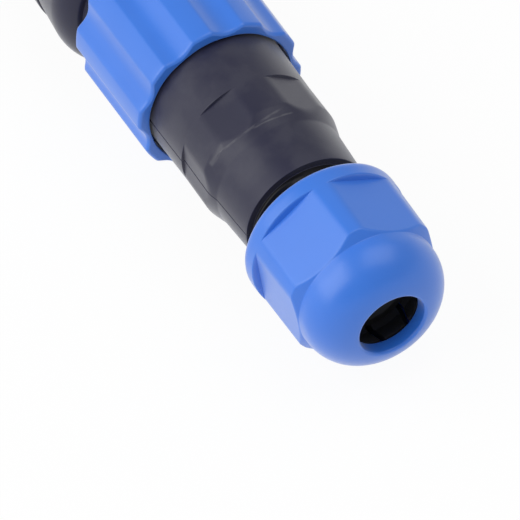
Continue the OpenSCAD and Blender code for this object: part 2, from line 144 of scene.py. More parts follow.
class Wire:
    """An output socket of a shader graph that takes part in arithmetic."""

    def __init__(self, graph: "Graph", socket: bpy.types.NodeSocket) -> None:
        """Keeps the graph that new Math nodes go into, and the socket.

        Args:
            graph: Graph that the socket belongs to.
            socket: Output socket of one of its nodes.
        """
        self.graph = graph
        self.socket = socket

    def _math(self, operation: str, first: Any, second: Any = 0.0) -> "Wire":
        """Adds one Math node.

        Args:
            operation: Name of the Math operation.
            first: Wire or number on the first socket.
            second: Wire or number on the second socket.

        Returns:
            The node's result.
        """
        node = self.graph.node("ShaderNodeMath", {"operation": operation}, {0: first, 1: second})
        return Wire(self.graph, node.outputs[0])

    def __add__(self, other: Any) -> "Wire":
        """Sum of two values."""
        return self._math("ADD", self, other)

    __radd__ = __add__

    def __sub__(self, other: Any) -> "Wire":
        """This value less another."""
        return self._math("SUBTRACT", self, other)

    def __rsub__(self, other: Any) -> "Wire":
        """A number less this value."""
        return self._math("SUBTRACT", other, self)

    def __mul__(self, other: Any) -> "Wire":
        """Product of two values."""
        return self._math("MULTIPLY", self, other)

    __rmul__ = __mul__

    def __abs__(self) -> "Wire":
        """Size of the value without its sign."""
        return self._math("ABSOLUTE", self)

    def angle_to(self, other: "Wire") -> "Wire":
        """Angle whose tangent is this value over another."""
        return self._math("ARCTAN2", self, other)

    def ramp(self, low: float, high: float) -> "Wire":
        """Soft step of the value.

        Args:
            low: Value at which the step is 0.
            high: Value at which the step is 1, which may lie below low.

        Returns:
            The step, from 0 to 1.
        """
        flip = low > high
        settings = {"interpolation_type": "SMOOTHSTEP"}
        inputs = {"Value": self, "From Min": min(low, high), "From Max": max(low, high)}
        inputs["To Min"] = 1.0 if flip else 0.0
        inputs["To Max"] = 0.0 if flip else 1.0
        return Wire(self.graph, self.graph.node("ShaderNodeMapRange", settings, inputs).outputs["Result"])


class Graph:
    """Node tree of a material or of the world, filled by one method."""

    # The Mix node's sockets for colours share their names with its other sockets, so they go by number
    MIX_SHARE, MIX_FIRST, MIX_SECOND, MIX_RESULT = 0, 6, 7, 2

    def __init__(self, tree: bpy.types.NodeTree) -> None:
        """Empties the tree.

        Args:
            tree: Node tree to fill.
        """
        self.tree = tree
        tree.nodes.clear()

    def node(self, kind: str, settings: dict[str, Any], inputs: dict[Any, Any]) -> bpy.types.Node:
        """Adds a node, sets it up and feeds it.

        Args:
            kind: Blender's name of the node type.
            settings: Attributes of the node, set first.
            inputs: Values, wires or sockets by input name or number.

        Returns:
            The node.
        """
        made = self.tree.nodes.new(kind)
        for name, value in settings.items():
            setattr(made, name, value)
        for key, value in inputs.items():
            if isinstance(value, Wire):
                value = value.socket
            if isinstance(value, bpy.types.NodeSocket):
                self.tree.links.new(value, made.inputs[key])
            else:
                made.inputs[key].default_value = value
        return made

    def wire(self, node: bpy.types.Node, output: Any = 0) -> Wire:
        """One output of a node, ready for arithmetic."""
        return Wire(self, node.outputs[output])

    def place(self) -> bpy.types.NodeSocket:
        """Object coordinates, which are the frame's own metres."""
        return self.node("ShaderNodeTexCoord", {}, {}).outputs["Object"]

    def axes(self) -> tuple[Wire, Wire, Wire]:
        """Object coordinates as three values."""
        split = self.node("ShaderNodeSeparateXYZ", {}, {0: self.place()})
        return self.wire(split, 0), self.wire(split, 1), self.wire(split, 2)

    def noise(self, grain: float, detail: float = 2.0, stretch: Sequence[float] = (1, 1, 1)) -> Wire:
        """Cloudy noise over the object.

        Args:
            grain: Size of one cloud in millimetres.
            detail: Octaves of finer noise.
            stretch: Share of the scale that is left along each axis.

        Returns:
            Noise about 0.5.
        """
        scaled = self.node("ShaderNodeMapping", {}, {"Vector": self.place(), "Scale": tuple(stretch)})
        inputs = {"Vector": scaled.outputs[0], "Scale": 1 / (grain * MM), "Detail": detail}
        return self.wire(self.node("ShaderNodeTexNoise", {}, inputs), "Fac")

    def mix(self, share: Any, first: Any, second: Any) -> bpy.types.NodeSocket:
        """Blends two colours.

        Args:
            share: Wire or number, 0 for the first colour and 1 for the second.
            first: Colour or socket.
            second: Colour or socket.

        Returns:
            The blended colour.
        """
        inputs = {self.MIX_SHARE: share, self.MIX_FIRST: opaque(first), self.MIX_SECOND: opaque(second)}
        return self.node("ShaderNodeMix", {"data_type": "RGBA"}, inputs).outputs[self.MIX_RESULT]

    def bump(self, height: Wire, depth: float) -> bpy.types.NodeSocket:
        """Normal of a fine relief.

        Args:
            height: Relief from 0 to 1.
            depth: Depth of the relief in millimetres.

        Returns:
            The normal.
        """
        inputs = {"Height": height, "Strength": 1.0, "Distance": depth * MM}
        return self.node("ShaderNodeBump", {}, inputs).outputs[0]


def opaque(colour: Any) -> Any:
    """A plain colour with its alpha; a socket as it is."""
    return (*colour, 1.0) if isinstance(colour, tuple) else colour


# Finishes


@dataclass(frozen=True)
class Finish:
    """What every surface finish shares: a name, a colour, and how the colour and gloss wander.

    The grain and the relief's depth are millimetres, and a cloud is a number of grains wide.
    """

    name: str
    colour: Colour
    shade: Colour
    roughness: float
    gloss_change: float
    grain: float
    relief: float
    metallic: float = 0.0
    specular: float = 0.7
    sheen: float = 0.0
    sheen_roughness: float = 0.37
    cloud_grains: float = 40.0
    cloud_detail: float = 3.0
    cloud_range: Span = (0.3, 0.7)

    def material(self) -> bpy.types.Material:
        """Builds the material.

        Returns:
            A material with the finish's nodes.
        """
        made = bpy.data.materials.new(self.name)
        made.use_nodes = True
        graph = Graph(made.node_tree)
        colour, roughness, height = self.surface(graph)
        inputs = {
            "Base Color": colour,
            "Roughness": roughness,
            "Metallic": self.metallic,
            "Specular IOR Level": self.specular,
            "Sheen Weight": self.sheen,
            "Sheen Roughness": self.sheen_roughness,
            "Normal": graph.bump(height, self.relief),
        }
        shader = graph.node("ShaderNodeBsdfPrincipled", {}, inputs)
        graph.node("ShaderNodeOutputMaterial", {}, {"Surface": shader.outputs[0]})
        return made

    def surface(self, graph: Graph) -> tuple[bpy.types.NodeSocket, Wire, Wire]:
        """Colour, roughness and relief over the surface.

        Args:
            graph: Graph of the material.

        Returns:
            The colour's socket, the roughness and the relief.
        """
        cloud = graph.noise(self.grain * self.cloud_grains, self.cloud_detail)
        fine = self.pattern(graph)
        colour = graph.mix(cloud.ramp(*self.cloud_range), self.colour, self.shade)
        roughness = self.roughness + (cloud + fine - 1.0) * self.gloss_change
        return colour, roughness, fine

    def pattern(self, graph: Graph) -> Wire:
        """Finest pattern of the surface, which its gloss and relief follow."""
        return graph.noise(self.grain)


@dataclass(frozen=True)
class TurnedMetal(Finish):
    """Metal with fine turning lines round the connector's axis."""

    metallic: float = 1.0
    cloud_grains: float = 20.0
    cloud_detail: float = 2.0
    cloud_range: Span = (0.35, 0.65)
    line: float = 0.12
    line_stretch: Triple = (1.0, 0.05, 0.05)

    def pattern(self, graph: Graph) -> Wire:
        """Turning lines across the axis."""
        return graph.noise(self.line, stretch=self.line_stretch)


@dataclass(frozen=True)
class Rub:
    """One pale rub mark round the axis, which bends away from its place along X by a sag at its ends.

    The place, the sag and the width are millimetres, and the turns are degrees about the axis.
    """

    CORE: ClassVar[float] = 0.2
    FADE_FROM: ClassVar[float] = 0.75

    place: float
    sag: float
    width: float
    turn_from: float
    turn_to: float
    strength: float

    def mark(self, along: Wire, turn: Wire) -> Wire:
        """Strength of the mark over the surface.

        Args:
            along: Place along the axis in metres.
            turn: Angle about the axis in radians.

        Returns:
            The mark, from 0 to its strength.
        """
        middle = math.radians((self.turn_from + self.turn_to) / 2)
        reach = math.radians((self.turn_to - self.turn_from) / 2)
        bend = (turn - middle) * (1 / reach)
        line = along - self.place * MM + bend * bend * (self.sag * MM)
        band = abs(line).ramp(self.width * MM, self.CORE * self.width * MM)
        return band * abs(bend).ramp(1.0, self.FADE_FROM) * self.strength


@dataclass(frozen=True)
class ScuffedPlastic(Finish):
    """Moulded plastic with dull patches, and with pale rub marks along one edge of the piece."""

    axis_height: float = 15.77
    rub_colour: Colour = (0.15, 0.15, 0.165)
    rub_roughness: float = 0.2
    rub_grain: float = 0.6
    rub_detail: float = 3.0
    rub_stretch: Triple = (1.0, 0.3, 0.3)
    rub_range: Span = (0.3, 0.62)
    dust: float = 0.1
    dust_grain: float = 5.0
    dust_detail: float = 5.0
    dust_range: Span = (0.42, 0.72)
    rubs: tuple[Rub, ...] = (
        Rub(place=37.5, sag=1.0, width=0.3, turn_from=-10.0, turn_to=58.0, strength=0.32),
        Rub(place=37.85, sag=0.1, width=0.22, turn_from=-16.0, turn_to=21.0, strength=0.4),
        Rub(place=36.6, sag=0.2, width=0.75, turn_from=45.0, turn_to=66.0, strength=0.28),
    )

    def surface(self, graph: Graph) -> tuple[bpy.types.NodeSocket, Wire, Wire]:
        """Colour, roughness and relief, with the rub marks and dull patches laid over the moulded skin.

        Args:
            graph: Graph of the material.

        Returns:
            The colour's socket, the roughness and the relief.
        """
        colour, roughness, fine = super().surface(graph)
        along, across, up = graph.axes()
        turn = (0.0 - across).angle_to(up - self.axis_height * MM)
        marks = sum((rub.mark(along, turn) for rub in self.rubs), 0.0)
        dust = graph.noise(self.dust_grain, self.dust_detail).ramp(*self.dust_range) * self.dust
        broken = graph.noise(self.rub_grain, self.rub_detail, self.rub_stretch).ramp(*self.rub_range)
        pale = marks * broken + dust
        return graph.mix(pale, colour, self.rub_colour), roughness + pale * self.rub_roughness, fine


BLUE = Finish(
    "blue_moulding",
    colour=(0.027, 0.173, 0.71),
    shade=(0.030, 0.184, 0.74),
    roughness=0.34,
    gloss_change=0.1,
    grain=0.35,
    relief=0.004,
    sheen=0.5,
)
BLACK = Finish(
    "black_moulding",
    colour=(0.0085, 0.0088, 0.034),
    shade=(0.012, 0.0122, 0.039),
    roughness=0.42,
    gloss_change=0.14,
    grain=0.3,
    relief=0.006,
    specular=0.42,
    sheen=0.6,
)
SCUFFED = ScuffedPlastic(**(asdict(BLACK) | {"name": "black_moulding_rubbed"}))
CLAW = Finish(
    "claw_plastic",
    colour=(0.045, 0.045, 0.052),
    shade=(0.055, 0.055, 0.063),
    roughness=0.5,
    gloss_change=0.1,
    grain=0.3,
    relief=0.006,
    specular=0.4,
)
# Darker, duller black than the mouldings: painted shade for the gaps round the necks and on their threads
PAINTED_SHADE_BLACK = Finish(
    "black_painted_shade",
    colour=(0.004, 0.004, 0.006),
    shade=(0.006, 0.006, 0.008),
    roughness=0.4,
    gloss_change=0.1,
    grain=0.3,
    relief=0.006,
    specular=0.25,
)
RUBBER = Finish(
    "seal_rubber",
    colour=(0.008, 0.008, 0.009),
    shade=(0.012, 0.012, 0.013),
    roughness=0.68,
    gloss_change=0.12,
    grain=0.25,
    relief=0.01,
)
INSULATOR = Finish(
    "insulating_plastic",
    colour=(0.035, 0.036, 0.04),
    shade=(0.045, 0.046, 0.05),
    roughness=0.55,
    gloss_change=0.1,
    grain=0.25,
    relief=0.006,
)
BRASS = TurnedMetal(
    "plated_brass",
    colour=(0.78, 0.56, 0.26),
    shade=(0.70, 0.48, 0.20),
    roughness=0.26,
    gloss_change=0.16,
    grain=0.3,
    relief=0.004,
)
STEEL = TurnedMetal(
    "turned_steel",
    colour=(0.58, 0.58, 0.60),
    shade=(0.50, 0.50, 0.52),
    roughness=0.3,
    gloss_change=0.16,
    grain=0.3,
    relief=0.004,
)

FINISHES: dict[Slot, Finish] = {
    Slot.BLUE: BLUE,
    Slot.BLACK: BLACK,
    Slot.RUBBER: RUBBER,
    Slot.INSULATOR: INSULATOR,
    Slot.BRASS: BRASS,
    Slot.STEEL: STEEL,
}


@cache
def finished(finish: Finish) -> bpy.types.Material:
    """The finish's material, built once."""
    return finish.material()


# Drawing of turned mouldings


@dataclass(frozen=True)
class Corner:
    """Corner of a turned outline, with its rounding and the longest edge on the stretch that ends at it."""

    station: float
    radius: float
    rounding: float = 0.0
    pitch: float = 2.0


class Outline:
    """Closed outline of a turned piece, made of straight stretches, rounded corners and arcs."""

    ROUND_STEPS = 5

    def __init__(self) -> None:
        """Starts with no corner."""
        self.corners: list[Corner] = []

    def to(self, station: float, radius: float, rounding: float = 0.0, pitch: float = 2.0) -> "Outline":
        """Adds a corner.

        Args:
            station: Place along the axis.
            radius: Distance from the axis.
            rounding: Length that the rounding takes off each side.
            pitch: Longest edge on the stretch that ends at this corner.

        Returns:
            The outline, for the next call.
        """
        self.corners.append(Corner(station, radius, rounding, pitch))
        return self

    def arc(self, centre: Point, radius: float, start: float, end: float, steps: int) -> "Outline":
        """Adds the points of an arc.

        Args:
            centre: Station and radius of the arc's centre.
            radius: Radius of the arc.
            start: First angle in degrees, from the radial direction towards the axis direction.
            end: Last angle in degrees.
            steps: Number of edges.

        Returns:
            The outline, for the next call.
        """
        for angle in np.radians(np.linspace(start, end, steps + 1)):
            self.to(centre[0] + radius * math.sin(angle), centre[1] + radius * math.cos(angle))
        return self

    def points(self) -> list[Point]:
        """Points of the outline with roundings drawn and long stretches divided.

        Returns:
            Stations and radii in order round the loop.
        """
        found: list[tuple[Point, float]] = []
        count = len(self.corners)
        for i, corner in enumerate(self.corners):
            here = np.array((corner.station, corner.radius))
            if not corner.rounding:
                found.append((tuple(here), corner.pitch))
                continue
            before, after = self.corners[i - 1], self.corners[(i + 1) % count]
            first = self._towards(here, before, corner.rounding)
            last = self._towards(here, after, corner.rounding)
            for share in np.linspace(0, 1, self.ROUND_STEPS + 1):
                at = first * (1 - share) ** 2 + here * 2 * share * (1 - share) + last * share**2
                found.append((tuple(at), corner.pitch))
        return self._divided(found)

    @staticmethod
    def _towards(here: np.ndarray, other: Corner, length: float) -> np.ndarray:
        """Point at a length from here on the way to another corner, or halfway at most.

        Args:
            here: Station and radius of the start.
            other: Corner that the way leads to.
            length: Length to go.

        Returns:
            Station and radius of the point.
        """
        way = np.array((other.station, other.radius)) - here
        span = float(np.linalg.norm(way))
        return here + way * min(length / span, 0.5)

    @staticmethod
    def _divided(found: list[tuple[Point, float]]) -> list[Point]:
        """Divides every stretch that is longer than its pitch.

        Args:
            found: Points round the loop, each with the pitch of the stretch that ends at it.

        Returns:
            The points with the new ones between them.
        """
        divided: list[Point] = []
        for (start, _), (end, pitch) in zip(found[-1:] + found[:-1], found):
            pieces = max(1, math.ceil(math.dist(start, end) / pitch))
            for k in range(1, pieces + 1):
                share = k / pieces
                divided.append(tuple(a + (b - a) * share for a, b in zip(start, end)))
        return divided


@dataclass
class Skin:
    """Points of a turned surface.

    Stations and radii are millimetres, and turns are degrees about the axis, from +Z towards -Y.
    """

    station: np.ndarray
    turn: np.ndarray
    radius: np.ndarray


def from_middle(turn: np.ndarray, middle: float, sector: float = 360.0) -> np.ndarray:
    """Angles in degrees from the nearest of the middles that repeat at every sector round the axis."""
    return (turn - middle + sector / 2) % sector - sector / 2


class Shape:
    """Limit on a turned surface's radius, pressed in with soft edges."""

    softness: float = 0.2

    def limit(self, skin: Skin) -> np.ndarray:
        """Radius that the surface may not pass.

        Args:
            skin: Points of the surface.

        Returns:
            The largest radius at each point.
        """
        raise NotImplementedError

    def gathered(self, turn: np.ndarray) -> np.ndarray:
        """Angles of the mesh's columns, drawn together where the shape needs more of them."""
        return turn

    def press(self, skin: Skin) -> np.ndarray:
        """Presses the shape into the surface."""
        limit = self.limit(skin)
        return np.minimum(skin.radius, limit) - self.rounded(skin.radius - limit)

    def rounded(self, gap: np.ndarray) -> np.ndarray:
        """Depth that rounds the edge where two surfaces meet, from the gap between them."""
        near = np.clip(self.softness - np.abs(gap), 0, None) / self.softness
        return near**2 * self.softness / 4


@dataclass
class Flats(Shape):
    """Flats round a piece, which start at a step with a rounded edge and run on to higher stations."""

    LEAST_COSINE: ClassVar[float] = 0.2

    count: int
    radius: float
    turn: float
    start: float
    top_r: float
    rounding: float
    softness: float = 0.2
    draft: float = 0.0

    def limit(self, skin: Skin) -> np.ndarray:
        """Radius of the flats' planes, and of the step's wall, which rises from them to the round surface.

        Args:
            skin: Points of the surface.

        Returns:
            The largest radius at each point, with no limit in front of the step.
        """
        off = np.radians(from_middle(skin.turn, self.turn, 360 / self.count))
        plane = self.radius - (skin.station - self.start) * math.tan(math.radians(self.draft))
        plane = plane / np.maximum(np.cos(off), self.LEAST_COSINE)
        near = 1 - np.clip((self.start - skin.station) / self.rounding, 0, 1)
        rise = np.maximum(self.top_r + self.softness - plane, 0)
        return np.where(near > 0, plane + rise * np.sqrt(1 - near**2), np.inf)


@dataclass
class Flutes(Shape):
    """Round grip flutes along a drafted ring, whose rounded ends follow them and whose bore doesn't."""

    count: int
    turn: float
    top_r: float
    draft: float
    inner: float
    edge: float
    depth: float
    softness: float = 1.1

    def top(self, station: np.ndarray) -> np.ndarray:
        """Radius of the side between the flutes."""
        return self.top_r - math.tan(math.radians(self.draft)) * station

    def limit(self, skin: Skin) -> np.ndarray:
        """Near side of the round cutter, which takes up half of each flute's sector.

        Args:
            skin: Points of the surface.

        Returns:
            The largest radius at each point, with no limit beside the cutter.
        """
        sector = 360 / self.count
        off = np.radians(from_middle(skin.turn, self.turn, sector))
        half = self.top_r * math.sin(math.radians(sector / 4))
        sag = self.depth - self.top_r * (1 - math.cos(math.radians(sector / 4)))
        cutter = (half**2 + sag**2) / (2 * sag)
        centre = self.top(skin.station) - self.depth + cutter
        under = cutter**2 - (centre * np.sin(off)) ** 2
        return np.where(under > 0, centre * np.cos(off) - np.sqrt(np.maximum(under, 0)), np.inf)

    def press(self, skin: Skin) -> np.ndarray:
        """Sinks the flutes in, by their whole depth on the side and by less towards the bore on the ends.

        Args:
            skin: Points of the surface.

        Returns:
            The new radii.
        """
        top = self.top(skin.station)
        deep = top - self.limit(skin)
        sunk = np.maximum(deep, 0) + self.rounded(deep)
        outward = (skin.radius - self.inner) / (top - self.edge - self.inner)
        return skin.radius - sunk * np.clip(outward, 0, 1)


@dataclass
class Seams(Shape):
    """Two fine mould parting lines at the sides of a piece.

    The depth and the least radius are millimetres. The width, the places and the reach are degrees.
    """

    depth: float = 0.24
    width: float = 0.6
    least_r: float = 9.0
    places: tuple[float, ...] = (90.0, -90.0)
    reach: float = 6.0
    power: float = 1.9

    def press(self, skin: Skin) -> np.ndarray:
        """Cuts a narrow groove at each parting line, on the outer skin alone.

        Args:
            skin: Points of the surface.

        Returns:
            The new radii.
        """
        pressed = skin.radius.copy()
        for place in self.places:
            cut = np.clip(1 - np.abs(from_middle(skin.turn, place)) / self.width, 0, 1) * self.depth
            pressed -= np.where(skin.radius > self.least_r, cut, 0)
        return pressed

    def gathered(self, turn: np.ndarray) -> np.ndarray:
        """Draws the mesh's columns together at the parting lines, more strongly with a higher power.

        Args:
            turn: Angles in degrees.

        Returns:
            The new angles.
        """
        moved = turn.copy()
        for place in self.places:
            off = from_middle(turn, place)
            new = np.sign(off) * self.reach * (np.abs(off) / self.reach) ** self.power
            moved = np.where(np.abs(off) < self.reach, place + new, moved)
        return moved


def deselect_all() -> None:
    """Leaves edit mode and deselects every object."""
    if bpy.context.object and bpy.context.object.mode != "OBJECT":
        bpy.ops.object.mode_set(mode="OBJECT")
    bpy.ops.object.select_all(action="DESELECT")


def select_only(piece: bpy.types.Object) -> None:
    """Selects one piece alone and makes it the active one.

    Args:
        piece: Object to select.
    """
    deselect_all()
    piece.select_set(True)
    bpy.context.view_layer.objects.active = piece


def read_spots(piece: bpy.types.Object) -> np.ndarray:
    """Reads the places of a piece's vertices.

    Args:
        piece: Mesh object.

    Returns:
        A row of three millimetres for each vertex.
    """
    flat = np.empty(3 * len(piece.data.vertices))
    piece.data.vertices.foreach_get("co", flat)
    return flat.reshape(-1, 3) / MM


def move_spots(piece: bpy.types.Object, spots: np.ndarray) -> None:
    """Moves a piece's vertices to new places in millimetres."""
    piece.data.vertices.foreach_set("co", (spots * MM).ravel())
    piece.data.update()


def draw_loop(name: str, points: Sequence[Point], height: float) -> bpy.types.Object:
    """Draws a closed outline in the plane above the axis, vertex by vertex.

    Args:
        name: Name of the new piece.
        points: Places along the axis and radii, in millimetres of the frame.
        height: Height of the axis in millimetres.

    Returns:
        The new object, in edit mode, with all of its outline selected.
    """
    deselect_all()
    places = [Vector((x, 0, height + r)) * MM for x, r in points]
    bpy.ops.mesh.primitive_plane_add(size=MM, location=(0, 0, 0))
    piece = bpy.context.object
    piece.name = piece.data.name = name
    bpy.ops.object.mode_set(mode="EDIT")
    bpy.ops.mesh.select_all(action="SELECT")
    bpy.ops.mesh.merge(type="CENTER")
    bpy.ops.transform.translate(value=places[0])
    for start, end in zip(places, places[1:] + places[:1]):
        bpy.ops.mesh.extrude_region_move(TRANSFORM_OT_translate={"value": end - start})
    bpy.ops.mesh.select_all(action="SELECT")
    bpy.ops.mesh.remove_doubles(threshold=OUTLINE_WELD)
    return piece


def spin_loop(piece: bpy.types.Object, height: float, columns: int) -> None:
    """Spins a drawn outline round the axis into a closed solid.

    Args:
        piece: Object in edit mode with its outline selected.
        height: Height of the axis in millimetres.
        columns: Number of columns round the axis.
    """
    centre = (0, 0, height * MM)
    bpy.ops.mesh.spin(steps=columns, angle=FULL_TURN, center=centre, axis=(1, 0, 0))
    bpy.ops.mesh.select_all(action="SELECT")
    bpy.ops.mesh.remove_doubles(threshold=SPIN_WELD)
    bpy.ops.mesh.normals_make_consistent(inside=False)
    bpy.ops.object.mode_set(mode="OBJECT")


def smooth_piece(piece: bpy.types.Object, angle: float = 38.0) -> None:
    """Shades a piece smooth, apart from edges that are sharper than an angle in degrees."""
    select_only(piece)
    bpy.ops.object.shade_smooth_by_angle(angle=math.radians(angle))


def dress(piece: bpy.types.Object, body: Body, finish: Finish) -> None:
    """Gives a new piece its finish and its body, and reports it.

    Args:
        piece: New mesh object.
        body: Body that the piece rides on.
        finish: Finish of all its faces.
    """
    piece.data.materials.clear()
    piece.data.materials.append(finished(finish))
    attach(piece, body.value)
    LOG.info("%s: %d faces, rides on %s", piece.name, len(piece.data.polygons), body.value)


@dataclass
class Turning:
    """A turned moulding: an outline round the axis, with shapes pressed into it."""

    name: str
    node: str
    body: Body
    slot: Slot
    finish: Finish
    height: float
    datum: float
    side: Side = Side.PLUG
    columns: int = 360
    inner_round: float = 0.2

    def outline(self) -> Outline:
        """Outline of the piece, with stations from its datum towards its cable end."""
        raise NotImplementedError

    def shapes(self) -> list[Shape]:
        """Shapes that are pressed into the turned surface."""
        return []

    def build(self) -> bpy.types.Object:
        """Draws, spins, presses and dresses the piece.

        Returns:
            The new object, which stands for its node.
        """
        way = self.side.value
        points = [(self.datum + way * station, radius) for station, radius in self.outline().points()]
        piece = draw_loop(self.name, points, self.height)
        spin_loop(piece, self.height, self.columns)
        self.press(piece)
        smooth_piece(piece)
        dress(piece, self.body, self.finish)
        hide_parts(self.node)
        return piece

    def press(self, piece: bpy.types.Object) -> None:
        """Moves the turned vertices in to the shapes' limits.

        Args:
            piece: Spun mesh object.
        """
        spots = read_spots(piece)
        station = (spots[:, 0] - self.datum) * self.side.value
        across, up = -spots[:, 1], spots[:, 2] - self.height
        skin = Skin(station, np.degrees(np.arctan2(across, up)), np.hypot(across, up))
        shapes = self.shapes()
        for shape in shapes:
            skin.turn = shape.gathered(skin.turn)
        for shape in shapes:
            skin.radius = shape.press(skin)
        spots[:, 1] = -skin.radius * np.sin(np.radians(skin.turn))
        spots[:, 2] = skin.radius * np.cos(np.radians(skin.turn)) + self.height
        move_spots(piece, spots)


# Pieces


@dataclass
class GlandNut(Turning):
    """Domed nut with six flats, measured from its rear face.

    A step leads from the round rim down to the flats. The mesh is finer from a little before it to a little
    after it, and again before the flats' corners end.
    """

    rim_r: float = 14.0
    rim_length: float = 3.4
    rim_round: float = 1.8
    step_round: float = 0.6
    step_softness: float = 0.3
    step_before: float = 0.65
    step_after: float = 0.08
    flat_count: int = 6
    flat_r: float = 12.7
    flat_draft: float = 1.85
    flat_turn: float = 38.2
    corner_r: float = 13.65
    corner_length: float = 14.3
    corner_before: float = 0.6
    slope_end: float = 15.6
    dome_base: float = 16.5
    dome_base_r: float = 12.268
    dome_r: float = 7.3
    hole_r: float = 5.75
    mouth_r: float = 0.5
    lip_end: float = 21.3
    cone_r: float = 7.25
    bore_r: float = 10.85
    thread_end: float = 14.0
    edge: float = 0.4

    def outline(self) -> Outline:
        """Draws the rim, the corners, the slope, the dome, the rounded mouth and the hollow behind it.

        Returns:
            The nut's outline.
        """
        dome_centre = (self.dome_base, self.dome_base_r - self.dome_r)
        mouth_top = self.hole_r + self.mouth_r
        end = math.degrees(math.acos((mouth_top - dome_centre[1]) / self.dome_r))
        crown = dome_centre[0] + self.dome_r * math.sin(math.radians(end))
        mouth = (crown - self.mouth_r, mouth_top)
        drawn = Outline().to(0, self.rim_r, self.rim_round, pitch=0.5)
        self._side(drawn, self.rim_length - self.step_before, pitch=0.6)
        self._side(drawn, self.rim_length + self.step_after, pitch=0.03)
        self._side(drawn, self.corner_length - self.corner_before, pitch=0.5)
        drawn.to(self.corner_length, self.corner_r, rounding=0.18, pitch=0.1)
        drawn.to(self.slope_end, self.dome_base_r, rounding=0.12, pitch=0.08)
        drawn.arc(dome_centre, self.dome_r, 0, end, steps=44)
        drawn.arc(mouth, self.mouth_r, 90, 180, steps=8)
        return self._hollow(drawn)

    def _side(self, drawn: Outline, station: float, pitch: float) -> None:
        """Adds a point of the drafted side between the rim and the ends of the corners."""
        radius = self.rim_r + (self.corner_r - self.rim_r) * station / self.corner_length
        drawn.to(station, radius, pitch=pitch)

    def _hollow(self, drawn: Outline) -> Outline:
        """Adds the lip, the clamping cone and the thread's bore.

        Args:
            drawn: Outline of the outside.

        Returns:
            The closed outline.
        """
        drawn.to(self.lip_end, self.hole_r, rounding=0.15)
        drawn.to(self.lip_end, self.cone_r)
        drawn.to(self.thread_end, self.bore_r)
        drawn.to(self.edge, self.bore_r)
        return drawn.to(0, self.bore_r + self.edge)

    def shapes(self) -> list[Shape]:
        """Lays the six flats round the nut.

        Returns:
            One shape with all flats.
        """
        flats = Flats(
            count=self.flat_count,
            radius=self.flat_r,
            turn=self.flat_turn * self.side.value,
            start=self.rim_length,
            top_r=self.rim_r,
            rounding=self.step_round,
            softness=self.step_softness,
            draft=self.flat_draft,
        )
        return [flats]


@dataclass
class CouplingRing(Turning):
    """Fluted ring, measured from its far end towards the plug's cable end."""

    length: float = 23.8
    near_r: float = 15.35
    far_r: float = 15.7654
    draft: float = 1.0
    edge: float = 0.4
    edge_round: float = 0.28
    bore_r: float = 13.25
    lip_front: float = 17.0
    lip_back: float = 20.0
    lip_bore_r: float = 11.33
    skirt_r: float = 13.3
    flute_count: int = 10
    flute_depth: float = 1.1
    flute_turn: float = -5.3

    def outline(self) -> Outline:
        """Draws the grip surface with its end chamfers, the skirt, the lip and the bore.

        Returns:
            The ring's outline.
        """
        drawn = Outline().to(0, self.far_r - self.edge, self.edge_round, pitch=0.4)
        drawn.to(self.edge, self.far_r, self.edge_round, pitch=0.1)
        drawn.to(self.length - self.edge, self.near_r, self.edge_round, pitch=0.9)
        drawn.to(self.length, self.near_r - self.edge, self.edge_round, pitch=0.1)
        drawn.to(self.length, self.skirt_r, rounding=0.3, pitch=0.3)
        drawn.to(self.lip_back, self.skirt_r)
        drawn.to(self.lip_back, self.lip_bore_r, self.inner_round)
        drawn.to(self.lip_front, self.lip_bore_r, self.inner_round)
        drawn.to(self.lip_front, self.bore_r)
        return drawn.to(0, self.bore_r, self.inner_round)

    def shapes(self) -> list[Shape]:
        """Lays the grip flutes round the ring.

        Returns:
            One shape with all flutes.
        """
        flutes = Flutes(
            count=self.flute_count,
            turn=self.flute_turn,
            top_r=self.far_r,
            draft=self.draft,
            inner=self.skirt_r,
            edge=self.edge,
            depth=self.flute_depth,
        )
        return [flutes]


